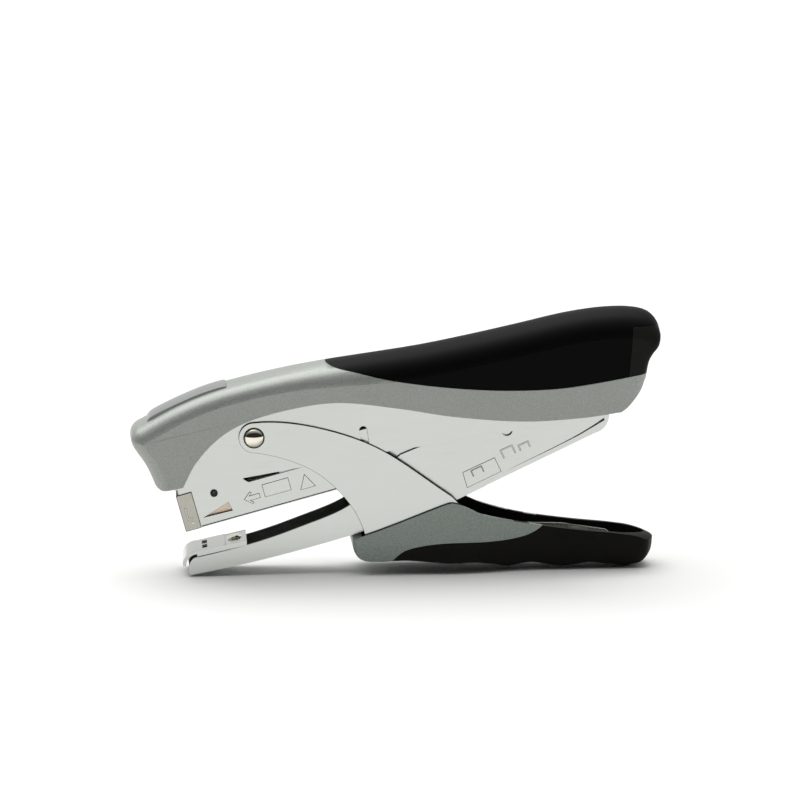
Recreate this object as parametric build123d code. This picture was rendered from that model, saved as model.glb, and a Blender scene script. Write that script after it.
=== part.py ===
"""Plier stapler: two squeezed handles, a magazine that closes on a swinging anvil arm.

Millimetres. X runs from the nose (-X) to the handle ends (+X), Y is the width, Z is up.
The origin is on the ground, under the middle of the length. The sheet-metal channels nest
inside each other across Y, and each one is named by its inner and outer half-widths.
"""
from build123d import *
from math import cos, radians, sin
import os

# ---- half-widths of the nested layers ----
STAPLE_HALF = 6.4
RAIL_HALF = 5.8
MAG_IN = 6.7
MAG_OUT = 7.5
WEAR_OUT = 8.1
ARM_IN = 7.8
ARM_OUT = 8.8
FRAME_IN = 9.5
FRAME_OUT = 10.5
CHEEK_IN = 10.7
CHEEK_OUT = 11.9
COVER_IN = 11.4
COVER_OUT = 13.0
SHELL_IN = 12.0
SHELL_OUT = 13.4
SHELL_REAR_OUT = 9.9
LEVER_TAIL_IN = 6.3
LEVER_TAIL_OUT = 7.5

# ---- pivots and the magazine line ----
FRONT_PIVOT = (-51.0, 50.5)
MAG_FOOT = (-74.7, 16.0)
MAG_SLOPE = 15.0
MAG_HEIGHT = 11.4
MAG_LENGTH = 157.0
REAR_PIVOT_U = 152.0
REAR_PIVOT_V = 5.7
SHEET = 1.0

# ---- pins ----
PIN_R = 2.0
RUNNING_GAP = 0.05
HEAD_R = 3.35
ROLLER_AT = (-1.0, 15.0)
ROLLER_R = 3.0
ROLLER_PIN_R = 1.5
ROD_R = 0.9
ROD_V = 9.2

# ---- staples, spring stand-ins ----
STAPLE_WIRE = 0.6
STAPLE_LEG = 6.0
STRIP_START = 3.8
STRIP_LENGTH = 50.0
PUSHER_LENGTH = 12.0

SLOPE_COS = cos(radians(MAG_SLOPE))
SLOPE_SIN = sin(radians(MAG_SLOPE))


# ---- small helpers ----
def at(*points):
    """Side-view points (x, z) as points in space."""
    return [(x, 0, z) for x, z in points]


def line(*points):
    return Polyline(*at(*points))


def curve(*points, tangents=()):
    return Spline(*at(*points), tangents=tangents)


def arc(start, middle, end):
    return ThreePointArc(*at(start, middle, end))


def closed(*edges):
    """A side-view face bounded by joined lines and curves."""
    all_edges = [edge for item in edges for edge in item.edges()]
    return make_face(all_edges)


def slab(face, y_low, y_high):
    """A side-view face given thickness across Y."""
    return extrude(Pos(0, y_low, 0) * face, amount=y_high - y_low, dir=(0, 1, 0))


def pair(face, inner, outer):
    """The same plate on both sides."""
    return slab(face, inner, outer) + slab(face, -outer, -inner)


def pin(centre, radius, y_low, y_high):
    """A cylinder across Y at a side-view point."""
    middle = (y_low + y_high) / 2
    turned = Rot(90, 0, 0) * Cylinder(radius, y_high - y_low)
    return Pos(centre[0], middle, centre[1]) * turned


def box(x_low, x_high, y_half, z_low, z_high):
    """A block centred on Y = 0."""
    size = Box(x_high - x_low, 2 * y_half, z_high - z_low)
    return Pos((x_low + x_high) / 2, 0, (z_low + z_high) / 2) * size


def on_slope(shape):
    """Move a shape from magazine axes (u along, v up) to its place."""
    return Pos(MAG_FOOT[0], 0, MAG_FOOT[1]) * Rot(0, -MAG_SLOPE, 0) * shape


def mag_point(u, v):
    """A magazine-axes point in side view."""
    x = MAG_FOOT[0] + u * SLOPE_COS - v * SLOPE_SIN
    z = MAG_FOOT[1] + u * SLOPE_SIN + v * SLOPE_COS
    return (x, z)


def dome(centre, radius, height, y_face, side):
    """A rivet head on a plate's outer face, side +1 or -1."""
    ball_r = (radius ** 2 + height ** 2) / (2 * height)
    ball = Pos(centre[0], side * (y_face + height - ball_r), centre[1]) * Sphere(ball_r)
    ends = sorted((side * y_face, side * (y_face + height)))
    return ball & pin(centre, radius + 1, *ends)


REAR_PIVOT = mag_point(REAR_PIVOT_U, REAR_PIVOT_V)
os.makedirs("parts", exist_ok=True)


# ---- upper handle: outer profile of cover, grip and rear cap ----
EDGE_ROUND = 3.2
NOSE_TIP = (-93.2, 54.0)
GRIP_TIP_X = -25.5
BACK_LOW = (88.9, 69.4)
SKIRT_BACK = (80.6, 58.1)
SKIRT_FRONT = (-76.4, 33.0)


def upper_outline():
    crest = (82, 93.4)
    top = curve(NOSE_TIP, (-80.5, 60.4), (-59.6, 68.1), (-25.5, 75.3), (20, 82.5), (52, 89.4), crest,
                tangents=[(1, 0, 0.55), (1, 0, 0.03)])
    lip = curve(crest, (91.6, 92.2), (95.0, 88.0), (92.6, 82.8), (90.6, 77.0), BACK_LOW,
                tangents=[(1, 0, 0.03), (-0.25, 0, -1)])
    slant = line(BACK_LOW, (87.5, 68.0), SKIRT_BACK)
    arch = curve(SKIRT_BACK, (66.8, 56.2), (45, 55.2), (20, 57.3), (2, 60.3), (-19.6, 62.9), (-34, 61.6),
                 (-52, 57.0), (-62.8, 51.2), (-71.6, 42.0), SKIRT_FRONT)
    nose_low = line(SKIRT_FRONT, (-82.6, 32.0))
    chin = arc((-82.6, 32.0), (-84.0, 32.5), (-84.9, 33.8))
    face = line((-84.9, 33.8), (-94.3, 48.8))
    tip = arc((-94.3, 48.8), (-95.0, 51.8), NOSE_TIP)
    return closed(top, lip, slant, arch, nose_low, chin, face, tip)


def upper_hollow():
    top = curve((-91.0, 51.5), (-79.3, 58.1), (-59, 65.9), (-25, 73.1), (20, 80.3), (52, 87.1), (80, 91.0))
    back = line((80, 91.0), (88.0, 84.0), (86.6, 70.0), (78.6, 57.5), (74, 44), (-60, 14), (-82.4, 24))
    front = line((-82.4, 24), (-91.0, 51.5))
    return closed(top, back, front)


def upper_shell():
    outer = slab(upper_outline(), -COVER_OUT, COVER_OUT)
    along = [e for e in outer.edges() if abs(e.center().Y) > COVER_OUT - 0.1]
    rounded = [e for e in along if e.center().Z > 70 or e.center().X < -88]
    outer = fillet(rounded, EDGE_ROUND)
    return outer - slab(upper_hollow(), -COVER_IN, COVER_IN)


def grip_region():
    """Everything above the wavy line where the black grip meets the grey cover."""
    seam = curve((GRIP_TIP_X, 76.6), (-15, 73.6), (-1.6, 70.6), (20, 67.7), (42, 66.5), (63, 67.5), (92, 72.6))
    over = line((92, 72.6), (100, 72.6), (100, 100), (-40, 100), (GRIP_TIP_X, 76.6))
    return closed(seam, over)


def cap_region():
    """The rear wall of the grip, behind a thin parting line."""
    return closed(line((81.7, 60), (84.4, 87.3), (99, 88.3), (99, 60), (81.7, 60)))


# ---- upper handle: steel frame ----
SLOT_X = mag_point(69.4, 13.8)[0]
SLOT_LOW = 47.3
SLOT_HIGH = 52.5
SLOT_LEAN = 0.75
SLOT_R = 1.45


def frame_outline():
    low = line((-79.5, 31.6), (-75.4, 32.2), (-55.8, 35.6), (-34, 39.3), (-0.9, 45.0), (16.4, 47.2),
               (38, 50.9), (74, 56.7), (77, 57.6))
    rest = line((77, 57.6), (77, 74), (60, 74.5), (20, 72.5), (-25, 68.5), (-60, 60.5), (-85, 49), (-79.5, 31.6))
    return closed(low, rest)


def frame_web():
    """The folded top that joins the two side plates."""
    upper = [(77, 74), (60, 74.5), (20, 72.5), (-25, 68.5), (-60, 60.5), (-78, 52.2)]
    lower = [(x, z - SHEET) for x, z in reversed(upper)]
    return slab(closed(line(*upper, *lower, upper[0])), -FRAME_OUT, FRAME_OUT)


def body_frame():
    sides = pair(frame_outline(), FRAME_IN, FRAME_OUT)
    slot = closed(line((SLOT_X - SLOT_R, SLOT_LOW), (SLOT_X + SLOT_R, SLOT_LOW),
                       (SLOT_X + SLOT_R - SLOT_LEAN, SLOT_HIGH), (SLOT_X - SLOT_R - SLOT_LEAN, SLOT_HIGH),
                       (SLOT_X - SLOT_R, SLOT_LOW)))
    slot = slab(slot, -20, 20) + pin((SLOT_X, SLOT_LOW), SLOT_R, -20, 20)
    slot += pin((SLOT_X - SLOT_LEAN, SLOT_HIGH), SLOT_R, -20, 20)
    holes = pin(FRONT_PIVOT, PIN_R, -20, 20) + pin(REAR_PIVOT, PIN_R, -20, 20)
    result = sides + frame_web() - slot - holes
    for axes in screw_axes():
        result -= axes * Cylinder(SCREW_R + 0.1, 8)
    return result


# ---- upper handle: fixings and driver ----
SCREW_R = 1.1
COVER_SCREWS = [(-66.0, 57.73, 24.8), (50.0, 74.0, 2.9)]
BLADE_U = 1.3
BLADE_THICK = 0.6
BLADE_TIP_V = 9.1
BLOCK_V = 25.0


def screw_axes():
    """The frames of the two screws: origin on the web's top, Z square to the web."""
    return [Pos(x, 0, z) * Rot(0, -tilt, 0) for x, z, tilt in COVER_SCREWS]


def cover_bosses():
    """Screw posts between the frame's web and the roof of the cover and the grip."""
    roof = slab(upper_outline(), -COVER_OUT, COVER_OUT)
    posts = []
    for axes in screw_axes():
        post = axes * (Pos(0, 0, 8) * Cylinder(3.2, 16) - Pos(0, 0, 2.0) * Cylinder(SCREW_R + 0.02, 10))
        posts.append(post & roof)
    return posts


def cover_screws():
    group = []
    for axes in screw_axes():
        shank = Pos(0, 0, 1.8) * Cylinder(SCREW_R, 6.0)
        head = Pos(0, 0, -SHEET - 0.85) * Cylinder(2.6, 1.6)
        group.append(axes * (shank + head))
    return Compound(children=group)


def driver_blade():
    return on_slope(box(BLADE_U - BLADE_THICK / 2, BLADE_U + BLADE_THICK / 2, 6.2, BLADE_TIP_V, BLOCK_V + 8))


def driver_block():
    block = on_slope(box(-1.6, 6.0, FRAME_IN, BLOCK_V + 1.0, BLOCK_V + 8.5))
    return block - on_slope(box(BLADE_U - BLADE_THICK / 2, BLADE_U + BLADE_THICK / 2, 6.2, 0, BLOCK_V + 8))


def pivot_rivet():
    rivet = pin(FRONT_PIVOT, PIN_R, -12.2, 12.2)
    for side in (1, -1):
        rivet += dome(FRONT_PIVOT, HEAD_R, 1.7, CHEEK_OUT + RUNNING_GAP, side)
    return rivet


def pivot_tube():
    return pin(FRONT_PIVOT, 3.4, -FRAME_IN, FRAME_IN) - pin(FRONT_PIVOT, PIN_R, -FRAME_IN, FRAME_IN)


def rear_pivot_studs():
    """One stud each side, so the staple channel between them stays open."""
    group = []
    for side in (1, -1):
        shank = pin(REAR_PIVOT, PIN_R, *sorted((side * 6.75, side * FRAME_OUT)))
        head = pin(REAR_PIVOT, 3.6, *sorted((side * FRAME_OUT, side * 11.2)))
        group.append(shank + head)
    return Compound(children=group)


def thumb_pad():
    """A plain raised pad on the nose, pressed into the cover."""
    low = curve((-87.5, 56.4), (-80.5, 60.2), (-70, 64.8), (-60, 68.0))
    high = curve((-60, 69.2), (-70, 66.2), (-80.5, 61.9), (-87.0, 58.4))
    pad = closed(low, line((-60, 68.0), (-60, 69.2)), high, line((-87.0, 58.4), (-87.5, 56.4)))
    return slab(pad, -6.5, 6.5)


# ---- lower handle: lever, rollers, shells ----
LEVER_FLOOR = 4.9


def cheek_outline():
    top = curve((-51, 55.9), (-44.8, 56.1), (-26.8, 53.4), (-5.2, 45.2), (8, 36.4), (20.0, 27.8))
    back = line((20.0, 27.8), (24, 23.5), (24, LEVER_FLOOR), (-9.0, LEVER_FLOOR), (-11.4, 14.0))
    low = curve((-11.4, 14.0), (-14.2, 21.4), (-20.5, 30.2), (-28, 36.9), (-38, 41.9), (-51, 45.1))
    end = arc((-51, 45.1), (-56.4, 50.5), (-51, 55.9))
    return closed(top, back, low, end)


def tail_outline():
    return closed(line((10, LEVER_FLOOR), (10, 12), (24, 13), (45, 14.2), (62, 13.6), (78, 11.0), (81, 8.5),
                       (81, LEVER_FLOOR), (10, LEVER_FLOOR)))


def lever():
    cheeks = pair(cheek_outline(), CHEEK_IN, CHEEK_OUT)
    floor = box(-9.0, 24, CHEEK_OUT, LEVER_FLOOR, LEVER_FLOOR + SHEET)
    tail = pair(tail_outline(), LEVER_TAIL_IN, LEVER_TAIL_OUT)
    tail += box(10, 81, LEVER_TAIL_OUT, LEVER_FLOOR, LEVER_FLOOR + SHEET)
    channel = cheeks + floor + tail
    channel -= pin(FRONT_PIVOT, PIN_R + RUNNING_GAP, -20, 20)
    channel -= pin(ROLLER_AT, ROLLER_PIN_R, -20, 20)
    for x in SHELL_SCREWS:
        channel -= Pos(x, 0, LEVER_FLOOR) * Cylinder(1.5, 10)
    return channel


def roller_pin():
    return pin(ROLLER_AT, ROLLER_PIN_R, -CHEEK_OUT, CHEEK_OUT)


def lift_roller():
    hole = pin(ROLLER_AT, ROLLER_PIN_R + RUNNING_GAP, -20, 20)
    return pin(ROLLER_AT, ROLLER_R, -7.4, 7.4) - hole


def roller_bushes():
    group = []
    for side in (1, -1):
        ends = sorted((side * 7.6, side * CHEEK_IN))
        group.append(pin(ROLLER_AT, 2.4, *ends) - pin(ROLLER_AT, ROLLER_PIN_R, *ends))
    return Compound(children=group)


SHELL_SCREWS = (34.0, 70.0)
SHELL_BACK = 94.2
SHELL_CORNER = 5.0
TAPER_START = 24.2
TAPER_END = 46.0


def shell_outline():
    top = curve((-14.6, 13.4), (-5.2, 16.6), (9, 22.0), (19.5, 25.8))
    hump = curve((19.5, 25.8), (23.6, 24.7), (31, 21.3), (45, 17.9), (66, 15.0), (88, 12.8))
    back = curve((88, 12.8), (93.0, 11.4), (94.2, 8.5), (92.3, 3.4), (88.2, 0.6), (84.5, 0.0))
    waves = curve((84.5, 0.0), (71, 1.3), (62, 0.7), (49, 1.8), (41, 1.3), (28, 2.7), (20, 2.4), (6, 3.5), (-9, 3.5))
    chin = curve((-9, 3.5), (-12.6, 5.0), (-14.4, 8.6), (-14.6, 13.4))
    return closed(top, hump, back, waves, chin)


def handle_plan(front, rear, x_front, x_back):
    """A closed outline seen from above, wide at the front and round at the back."""
    along = [(1, 0, 0), (1, 0, 0)]
    end_x = x_back - rear * 0.8
    edges = [Line((x_front, front, 0), (x_front, -front, 0))]
    for side in (1, -1):
        edges.append(Line((x_front, side * front, 0), (TAPER_START, side * front, 0)))
        edges.append(Spline((TAPER_START, side * front, 0), (TAPER_END, side * rear, 0), tangents=along))
        edges.append(Line((TAPER_END, side * rear, 0), (end_x, side * rear, 0)))
    edges.append(Spline((end_x, rear, 0), (x_back, 0, 0), (end_x, -rear, 0), tangents=[(1, 0, 0), (-1, 0, 0)]))
    return make_face(edges)


def handle_shell():
    outer = slab(shell_outline(), -20, 20)
    outer &= extrude(handle_plan(SHELL_OUT, SHELL_REAR_OUT, -20, SHELL_BACK), amount=40)
    section = Pos(0, 0, 20) * Rot(0, 90, 0) * RectangleRounded(40, 2 * SHELL_OUT, SHELL_CORNER)
    outer &= extrude(section, amount=100, both=True)
    hollow = extrude(Pos(0, 0, LEVER_FLOOR) * handle_plan(SHELL_IN, SHELL_REAR_OUT - 1.9, -12.6, 89.5), amount=40)
    return outer - hollow - shell_screws()


def lower_grip_region():
    """The black part: everything below and behind an S-shaped line."""
    seam = curve((-3.3, 3.0), (3.8, 8.9), (16, 10.9), (38, 11.4), (48.8, 13.6), (56.5, 19.5))
    rest = line((56.5, 19.5), (100, 19.5), (100, -5), (-3.3, -5), (-3.3, 3.0))
    return closed(seam, rest)


def shell_screws():
    group = []
    for x in SHELL_SCREWS:
        shank = Pos(x, 0, LEVER_FLOOR) * Cylinder(1.4, 5.0)
        head = Pos(x, 0, LEVER_FLOOR + SHEET + 0.85) * Cylinder(2.7, 1.6)
        group.append(shank + head)
    return Compound(children=group)


# ---- anvil arm ----
ANVIL_TOP = (-68.2, 9.6)
ANVIL_SLOPE = 0.22
ANVIL_TILT = 12.4
RIVET_X = -58.0
COIN_END = -61.6
COIN_STEP = 0.2
ANVIL_RIVET_R = 1.3


def arm_bottom():
    return curve((-74.3, 0.0), (-45, 6.1), (-16, 13.8), (22, 26.2))


def arm_outline():
    tail = line((22, 26.2), (71.5, 49.7))
    end = curve((71.5, 49.7), (75.6, 52.4), (76.7, 56.0))
    back = line((76.7, 56.0), (76.7, 62.5), (71, 67.0), (64, 66.0), (8.5, 45.8), (1.5, 43.0))
    neck = curve((1.5, 43.0), (-6.5, 34.9), (-15.0, 26.1), (-30.4, 18.7), (-44.8, 13.5), (-71.0, 6.7))
    nose = curve((-71.0, 6.7), (-73.6, 5.6), (-74.6, 3.0), (-74.3, 0.0))
    return closed(arm_bottom(), tail, end, back, neck, nose)


def arm_web():
    """The channel's floor, following the bottom edge at sheet thickness."""
    low = arm_bottom()
    high = curve((22, 27.3), (-16, 14.85), (-45, 7.1), (-74.5, 1.1))
    tail = line((22, 26.2), (71.5, 49.7), (71.0, 50.75), (22, 27.3))
    front = line((-74.5, 1.1), (-74.3, 0.0))
    return slab(closed(low, tail, high, front), -ARM_OUT, ARM_OUT)


TAIL_HOLE = (39.8, 51.3)


def anvil_arm():
    arm = pair(arm_outline(), ARM_IN, ARM_OUT) + arm_web()
    arm -= pin(REAR_PIVOT, PIN_R + RUNNING_GAP, -20, 20)
    arm -= pin(TAIL_HOLE, 2.0, -20, 20)
    arm -= anvil_axes() * Cylinder(ANVIL_RIVET_R, 30)
    return arm


def anvil_z(x):
    return ANVIL_TOP[1] + ANVIL_SLOPE * (x - ANVIL_TOP[0])


def anvil_plate():
    """A shallow tray over the arm's nose, with two clinch grooves and a turned-down lip."""
    roof = curve((-76.7, 3.4), (-76.4, 5.8), (-74.6, 7.9), (-71.5, 8.9))
    under = curve((-71.2, 7.7), (-73.9, 6.9), (-75.2, 5.3), (-75.6, 3.4))
    flat = line((-71.5, 8.9), (COIN_END, anvil_z(COIN_END)), (COIN_END + 0.3, anvil_z(COIN_END) - COIN_STEP),
                (-53.8, anvil_z(-53.8) - COIN_STEP - 0.05), (-53.8, anvil_z(-53.8) - 1.2), (-71.2, 7.7))
    plate = slab(closed(roof, flat, under, line((-75.6, 3.4), (-76.7, 3.4))), -ARM_OUT, ARM_OUT)
    skirt = closed(line((-71.6, 8.6), (-53.8, anvil_z(-53.8) - 0.2), (-53.8, 10.75), (-71.6, 6.85), (-71.6, 8.6)))
    plate += pair(skirt, ARM_IN, ARM_OUT)
    for side in (1, -1):
        cutter = Rot(90, 0, 0) * Cylinder(1.0, 5.2)
        plate -= Pos(-68.9, side * 3.3, anvil_z(-68.9) + 0.35) * cutter
    return plate - anvil_axes() * Cylinder(ANVIL_RIVET_R, 8)


def anvil_axes():
    """Origin on the anvil's top at its rivet, Z square to the anvil."""
    return Pos(RIVET_X, 0, anvil_z(RIVET_X)) * Rot(0, -ANVIL_TILT, 0)


def anvil_rivet():
    """A domed rivet through the anvil, its post and the arm's floor."""
    shank = Pos(0, 0, -3.5) * Cylinder(ANVIL_RIVET_R, 9.0)
    ball_r = (2.7 ** 2 + 1.3 ** 2) / (2 * 1.3)
    head = (Pos(0, 0, 1.35 - ball_r) * Sphere(ball_r)) & (Pos(0, 0, 2.05) * Cylinder(3.0, 4.0))
    return anvil_axes() * (shank + head)


def anvil_post():
    """The spacer that carries the anvil on the arm's floor."""
    post = Pos(0, 0, -3.9) * Cylinder(2.8, 5.1) - Pos(0, 0, -4) * Cylinder(ANVIL_RIVET_R, 10)
    return anvil_axes() * post


# ---- magazine, in its own axes: u along, v up ----
def magazine_side():
    return closed(line((0.2, 0), (MAG_LENGTH, 0), (MAG_LENGTH, MAG_HEIGHT), (73, MAG_HEIGHT), (73, 15.8),
                       (66, 15.8), (66, MAG_HEIGHT), (25.6, MAG_HEIGHT), (24.2, 12.8), (24.2, 16.4),
                       (0.2, 16.4), (0.2, 0)))


WINDOW = [(6.9, 3.3), (16.6, 6.2), (17.3, 3.0), (6.9, 3.3)]
BRIDGE_U = 43.0


def magazine_channel():
    walls = pair(magazine_side(), MAG_IN, MAG_OUT)
    floor = box(3.4, MAG_LENGTH, MAG_OUT, 0, 0.8)
    channel = walls + floor
    channel -= slab(closed(line(*WINDOW)), -20, 20)
    channel -= pin((REAR_PIVOT_U, REAR_PIVOT_V), PIN_R + RUNNING_GAP, -20, 20)
    channel -= pin(STOP_PIN, 1.0, -20, 20)
    return channel


STOP_PIN = (69.4, 13.8)


def stop_pin():
    return pin(STOP_PIN, 1.0, -10.55, 10.55)


def magazine_front():
    """The hard wear plate wrapped round the magazine's mouth."""
    cap = box(-0.8, 5.0, WEAR_OUT, 0.0, 13.6) - box(0.2, 6, MAG_OUT, -1, 14)
    return cap


def staple_rail():
    rail = box(3.4, 155, RAIL_HALF, 0.8, 6.9) - box(3.4, 155, RAIL_HALF - 0.8, 0.8, 6.1)
    return rail


def staple_strip():
    strip = box(STRIP_START, STRIP_START + STRIP_LENGTH, STAPLE_HALF, 1.6, 1.6 + STAPLE_LEG)
    return strip - box(0, 60, RAIL_HALF + 0.02, 0, 6.95)


def pusher():
    start = STRIP_START + STRIP_LENGTH + 0.1
    saddle = box(start, start + PUSHER_LENGTH, STAPLE_HALF, 1.2, 7.7) - box(0, 90, RAIL_HALF + 0.1, 0, 7.0)
    block = box(start + 3.0, start + PUSHER_LENGTH, 3.0, 7.3, 10.9)
    return saddle + block - rod_line(ROD_R + RUNNING_GAP, start - 5, start + PUSHER_LENGTH + 5)


def rod_line(radius, u_low, u_high):
    return Pos((u_low + u_high) / 2, 0, ROD_V) * Rot(0, 90, 0) * Cylinder(radius, u_high - u_low)


KNOB_START = MAG_LENGTH + 0.3


def guide_rod():
    return rod_line(ROD_R, 8.0, KNOB_START + 4)


def pusher_spring():
    start = STRIP_START + STRIP_LENGTH + 0.1 + PUSHER_LENGTH + 0.1
    return rod_line(2.0, start, KNOB_START - 0.1) - rod_line(1.5, start - 1, KNOB_START + 1)


def bridge():
    """A stamped seat over the magazine for the head spring."""
    top = box(BRIDGE_U - 6, BRIDGE_U + 6, MAG_OUT, MAG_HEIGHT + 0.05, MAG_HEIGHT + 0.85)
    return top


def load_knob():
    block = box(KNOB_START, KNOB_START + 20, 6.3, 1.0, 10.9)
    block = on_slope(block)
    slanted = closed(line((40, 40), (71.4, 40), (80.1, 57.5), (88.2, 69.9), (88.2, 80), (40, 80), (40, 40)))
    block &= slab(slanted, -10, 10)
    return block - on_slope(rod_line(ROD_R, 0, KNOB_START + 4))


# ---- spring stand-ins ----
def tube_between(low, high, outer, inner):
    x = low[0]
    height = high - low[1]
    middle = Pos(x, 0, (low[1] + high) / 2)
    return middle * (Cylinder(outer, height) - Cylinder(inner, height))


def head_spring():
    base = mag_point(BRIDGE_U, MAG_HEIGHT + 0.9)
    return tube_between((base[0], base[1] + 1.4), 63.4, 4.0, 3.2)


def arm_spring():
    return tube_between((14.0, 26.6), 38.4, 4.5, 3.7)


def write(node, shape):
    export_step(shape, "parts/" + node + ".step")


def write_upper():
    shell = upper_shell()
    grip_part = slab(grip_region(), -30, 30)
    cap_part = slab(cap_region(), -30, 30)
    black = shell & grip_part
    cover = shell - grip_part
    posts = cover_bosses()
    pad = thumb_pad()
    notch = on_slope(box(140, 180, 6.9, -6, 11.6))
    web = frame_web()
    cover = cover + posts[0] - web - notch - pad
    black = black + posts[1] - web
    write("head_cover", cover)
    write("rear_cap", black & cap_part)
    write("top_grip", black - cap_part)
    write("thumb_pad", pad)
    write("body_frame", body_frame())
    write("cover_screws", cover_screws())
    write("driver_blade", driver_blade())
    write("driver_block", driver_block())
    write("pivot_rivet", pivot_rivet())
    write("pivot_tube", pivot_tube())
    write("rear_pivot_studs", rear_pivot_studs())
    write("head_spring", head_spring())


def write_lower():
    shell = handle_shell()
    black = slab(lower_grip_region(), -30, 30)
    write("handle_shell", shell - black)
    write("handle_grip", shell & black)
    write("lever", lever())
    write("roller_pin", roller_pin())
    write("lift_roller", lift_roller())
    write("roller_bushes", roller_bushes())
    write("shell_screws", shell_screws())


def write_arm():
    write("anvil_arm", anvil_arm())
    write("anvil_plate", anvil_plate())
    write("anvil_rivet", anvil_rivet())
    write("anvil_post", anvil_post())


def write_magazine():
    write("magazine_channel", on_slope(magazine_channel()))
    write("magazine_front", on_slope(magazine_front()))
    write("staple_rail", on_slope(staple_rail()))
    write("staple_strip", on_slope(staple_strip()))
    write("stop_pin", on_slope(stop_pin()))
    write("spring_bridge", on_slope(bridge()))
    write("pusher", on_slope(pusher()))
    write("guide_rod", on_slope(guide_rod()))
    write("pusher_spring", on_slope(pusher_spring()))
    write("load_knob", load_knob())
    write("arm_spring", arm_spring())


write_upper()
write_lower()
write_arm()
write_magazine()
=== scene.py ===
"""Looks of the plier stapler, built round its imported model: metres, X to the handle ends, Z up.

New pieces are drawn in millimetres and brought to metres as they are finished.
"""
from math import cos, pi, radians, sin

import bmesh
import bpy
from mathutils import Matrix, Vector
from mathutils.geometry import interpolate_bezier


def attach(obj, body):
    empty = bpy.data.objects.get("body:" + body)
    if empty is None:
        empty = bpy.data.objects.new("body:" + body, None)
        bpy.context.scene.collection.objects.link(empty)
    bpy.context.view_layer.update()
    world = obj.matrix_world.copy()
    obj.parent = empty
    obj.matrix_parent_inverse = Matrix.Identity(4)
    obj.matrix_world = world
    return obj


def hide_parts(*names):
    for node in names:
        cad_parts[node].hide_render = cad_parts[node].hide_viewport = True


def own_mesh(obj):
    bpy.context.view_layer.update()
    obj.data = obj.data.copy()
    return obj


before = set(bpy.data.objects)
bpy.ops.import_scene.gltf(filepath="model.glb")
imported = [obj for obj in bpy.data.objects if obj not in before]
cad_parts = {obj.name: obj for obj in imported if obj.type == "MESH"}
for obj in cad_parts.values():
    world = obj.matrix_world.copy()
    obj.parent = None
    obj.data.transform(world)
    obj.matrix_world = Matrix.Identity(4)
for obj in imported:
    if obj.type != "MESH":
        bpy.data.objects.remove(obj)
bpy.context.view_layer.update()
MM = 0.001


# ---- Studio ----
# A white paper sweep under one very large soft light, as for a catalogue picture. The room is
# bright overhead and beyond the stapler, and dark behind the camera.
# The camera stands low at the near side, a little towards the nose, on a long lens.
LOOK_AT = Vector((2.0, 0.0, 61.3)) * MM
CAMERA_AZIMUTH = radians(-4.5)
CAMERA_HEIGHT = radians(10.5)
CAMERA_DISTANCE = 1.1
FRAME_WIDTH = 0.288

reach = CAMERA_DISTANCE * cos(CAMERA_HEIGHT)
camera = bpy.data.objects.new("camera", bpy.data.cameras.new("camera"))
bpy.context.scene.collection.objects.link(camera)
rise = CAMERA_DISTANCE * sin(CAMERA_HEIGHT)
offset = Vector((reach * sin(CAMERA_AZIMUTH), -reach * cos(CAMERA_AZIMUTH), rise))
camera.location = LOOK_AT + offset
camera.rotation_euler = (-offset).to_track_quat("-Z", "Y").to_euler()
camera.data.sensor_width = 36.0
camera.data.lens = camera.data.sensor_width * CAMERA_DISTANCE / FRAME_WIDTH
camera.data.clip_start = 0.01
bpy.context.scene.camera = camera
bpy.context.scene.view_settings.view_transform = "Standard"


class Value:
    """A shader socket in arithmetic: each operator adds its Math node to the same finish."""

    def __init__(self, finish, socket):
        self.finish = finish
        self.socket = socket

    def math(self, operation, *terms):
        return self.finish.node("ShaderNodeMath", {"operation": operation}, dict(enumerate(terms)))

    def __add__(self, other):
        return self.math("ADD", self, other)

    def __mul__(self, other):
        return self.math("MULTIPLY", self, other)

    __radd__ = __add__
    __rmul__ = __mul__


class Finish:
    """One material: node() adds any node, and surface() sets the sockets of its main shader."""

    def __init__(self, name):
        self.material = bpy.data.materials.new(name)
        self.material.use_nodes = True
        self.tree = self.material.node_tree
        self.shader = self.tree.nodes["Principled BSDF"]

    def feed(self, target, value):
        if isinstance(value, Value):
            self.tree.links.new(value.socket, target)
        else:
            target.default_value = value

    def node(self, kind, settings=None, inputs=None, output=0):
        made = self.tree.nodes.new(kind)
        for name, value in (settings or {}).items():
            if name == "stops":
                for element, (position, colour) in zip(made.color_ramp.elements, value):
                    element.position = position
                    element.color = colour
            else:
                setattr(made, name, value)
        for name, value in (inputs or {}).items():
            self.feed(made.inputs[name], value)
        return Value(self, made.outputs[output])

    def place(self, scale=(1, 1, 1), turn=(0, 0, 0)):
        """The object's own coordinates, scaled and turned."""
        own = self.node("ShaderNodeTexCoord", output="Object")
        return self.node("ShaderNodeMapping", None, {"Vector": own, "Scale": scale, "Rotation": turn})

    def noise(self, scale, detail=2.0, vector=None):
        where = vector or self.place()
        return self.node("ShaderNodeTexNoise", None, {"Vector": where, "Scale": scale, "Detail": detail})

    def band(self, factor, low, high):
        """0 below low, 1 above high, even between."""
        stops = [(low, (0, 0, 0, 1)), (high, (1, 1, 1, 1))]
        return self.node("ShaderNodeValToRGB", {"stops": stops}, {0: factor})

    def tint(self, factor, low, high):
        """Between two colours, either of them plain or another tint, by a factor."""
        low = low if isinstance(low, Value) else (*low, 1)
        high = high if isinstance(high, Value) else (*high, 1)
        mixed = {0: factor, 6: low, 7: high}
        return self.node("ShaderNodeMix", {"data_type": "RGBA"}, mixed, output=2)

    def bump(self, height, distance, strength):
        given = {"Height": height, "Distance": distance, "Strength": strength}
        return self.node("ShaderNodeBump", None, given)

    def surface(self, **sockets):
        for name, value in sockets.items():
            self.feed(self.shader.inputs[name.replace("_", " ")], value)
        return self.material


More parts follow.
